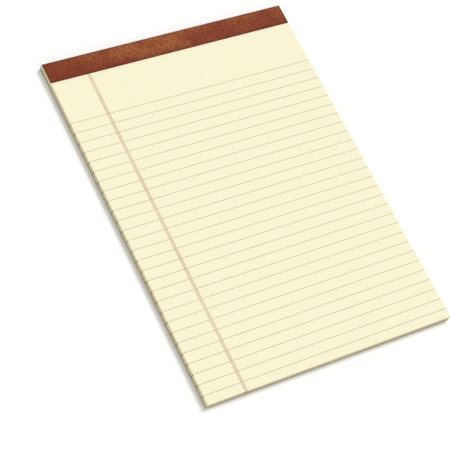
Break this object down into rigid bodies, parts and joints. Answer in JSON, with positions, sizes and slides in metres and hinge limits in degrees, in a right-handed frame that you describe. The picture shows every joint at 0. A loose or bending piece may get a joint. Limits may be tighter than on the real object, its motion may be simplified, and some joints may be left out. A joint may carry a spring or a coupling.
{
  "type": "legal pad",
  "caption": "Legal pad of canary leaves with pale ruling and a double margin line, on a stiff board, bound along the top edge with brown tape.",
  "frame": {"origin": "on the underside, below the middle of the pad's outline, the tape on the spine included", "axes": "+X across the page to the right, +Y up the page to the bound edge, +Z out of the page"},
  "size_m": [0.216, 0.2988, 0.0059],
  "materials": {
    "paper": "matt",
    "board": "matt",
    "tape": "embossed, slight sheen",
    "wire": "drawn"
  },
  "bodies": {
    "root": {"ruled_sheets": "paper", "backing_board": "board", "binding_tape": "tape", "staple_left": "wire", "staple_right": "wire"}
  },
  "joints": []
}
